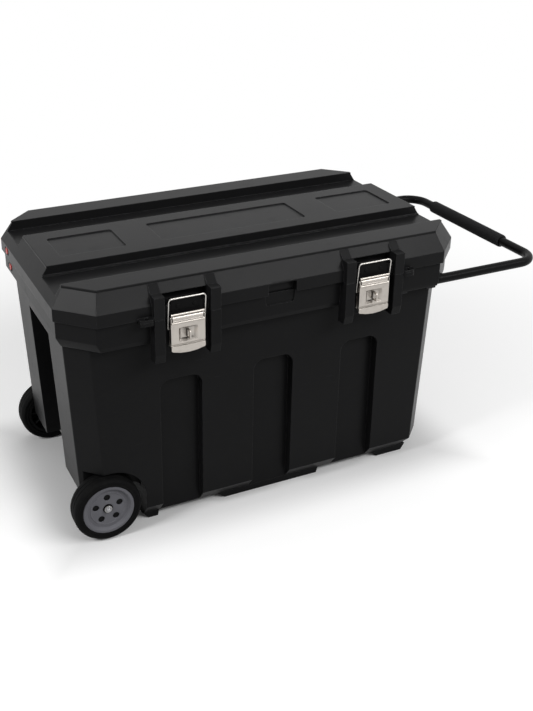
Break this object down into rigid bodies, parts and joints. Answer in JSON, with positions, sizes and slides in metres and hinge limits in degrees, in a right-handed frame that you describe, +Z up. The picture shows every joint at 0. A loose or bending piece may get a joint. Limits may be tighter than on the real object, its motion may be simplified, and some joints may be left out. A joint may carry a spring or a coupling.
{
  "type": "wheeled tool storage chest",
  "caption": "Lidded plastic jobsite storage box with draw latches, wheels at one end and a pull-out U-shaped tow handle at the other.",
  "frame": {"origin": "on the floor under the middle of the lid, on the underside of the middle skid", "axes": "+X along the box towards the tow handle, -Y towards the latches, +Z up"},
  "size_m": [1.184, 0.603, 0.592],
  "materials": {
    "tub_plastic": "fine moulded grain, matt",
    "lid_plastic": "fine moulded grain, matt",
    "seal_rubber": "matt",
    "reflector_red": "gloss",
    "pin_steel": "zinc plated",
    "cap_steel": "plated, dull",
    "tyre_rubber": "matt",
    "cover_plastic": "moulded, satin",
    "core_plastic": "moulded, matt",
    "handle_paint": "powder coat",
    "grip_foam": "foam, matt",
    "guide_plastic": "moulded",
    "latch_steel": "satin plated sheet",
    "keeper_coat": "black coat, satin",
    "wire_steel": "bright plated wire"
  },
  "bodies": {
    "tub": {"tub_shell": "tub_plastic", "lid_seal": "seal_rubber", "rim_reflector": "reflector_red", "hinge_pins": "pin_steel", "axle": "pin_steel", "axle_washers": "pin_steel", "push_nuts": "cap_steel", "handle_guides": "guide_plastic", "guide_screws": "pin_steel", "latch_base_left": "latch_steel", "latch_base_right": "latch_steel", "padlock_staple_left": "latch_steel", "padlock_staple_right": "latch_steel", "pivot_pins": "pin_steel", "base_rivets": "pin_steel"},
    "lid": {"lid_shell": "lid_plastic", "lid_reflector": "reflector_red", "keeper_left": "keeper_coat", "keeper_right": "keeper_coat", "keeper_rivets": "keeper_coat"},
    "lever_left": {"latch_lever_left": "latch_steel"},
    "lever_right": {"latch_lever_right": "latch_steel"},
    "bail_left": {"latch_bail_left": "wire_steel"},
    "bail_right": {"latch_bail_right": "wire_steel"},
    "handle": {"handle_tube": "handle_paint", "handle_grip": "grip_foam", "arm_stops": "guide_plastic"},
    "wheel_front": {"tyre_front": "tyre_rubber", "hub_front": "core_plastic", "hub_cover_front": "cover_plastic"},
    "wheel_back": {"tyre_back": "tyre_rubber", "hub_back": "core_plastic", "hub_cover_back": "cover_plastic"}
  },
  "joints": [
    {"name": "lid_hinge", "type": "hinge", "parent": "tub", "child": "lid", "pos_m": [0, 0.291, 0.523], "axis": [-1, 0, 0], "range_deg": [0, 100]},
    {"name": "lever_left_pivot", "type": "hinge", "parent": "tub", "child": "lever_left", "pos_m": [-0.217, -0.285, 0.5175], "axis": [-1, 0, 0], "range_deg": [0, 75]},
    {"name": "lever_right_pivot", "type": "hinge", "parent": "tub", "child": "lever_right", "pos_m": [0.217, -0.285, 0.5175], "axis": [-1, 0, 0], "range_deg": [0, 75]},
    {"name": "bail_left_pivot", "type": "hinge", "parent": "lever_left", "child": "bail_left", "pos_m": [-0.217, -0.2815, 0.494], "axis": [-1, 0, 0], "range_deg": [-75, 0]},
    {"name": "bail_right_pivot", "type": "hinge", "parent": "lever_right", "child": "bail_right", "pos_m": [0.217, -0.2815, 0.494], "axis": [-1, 0, 0], "range_deg": [-75, 0]},
    {"name": "handle_slide", "type": "slide", "parent": "tub", "child": "handle", "axis": [1, 0, 0], "range_m": [-0.222, 0]},
    {"name": "wheel_front_spin", "type": "hinge", "parent": "tub", "child": "wheel_front", "pos_m": [-0.388, -0.224, 0.075], "axis": [0, 1, 0], "continuous": true},
    {"name": "wheel_back_spin", "type": "hinge", "parent": "tub", "child": "wheel_back", "pos_m": [-0.388, 0.224, 0.075], "axis": [0, 1, 0], "continuous": true}
  ],
  "couplings": [
    {"joint": "bail_left_pivot", "follows": "lever_left_pivot", "ratio": -1},
    {"joint": "bail_right_pivot", "follows": "lever_right_pivot", "ratio": -1}
  ]
}
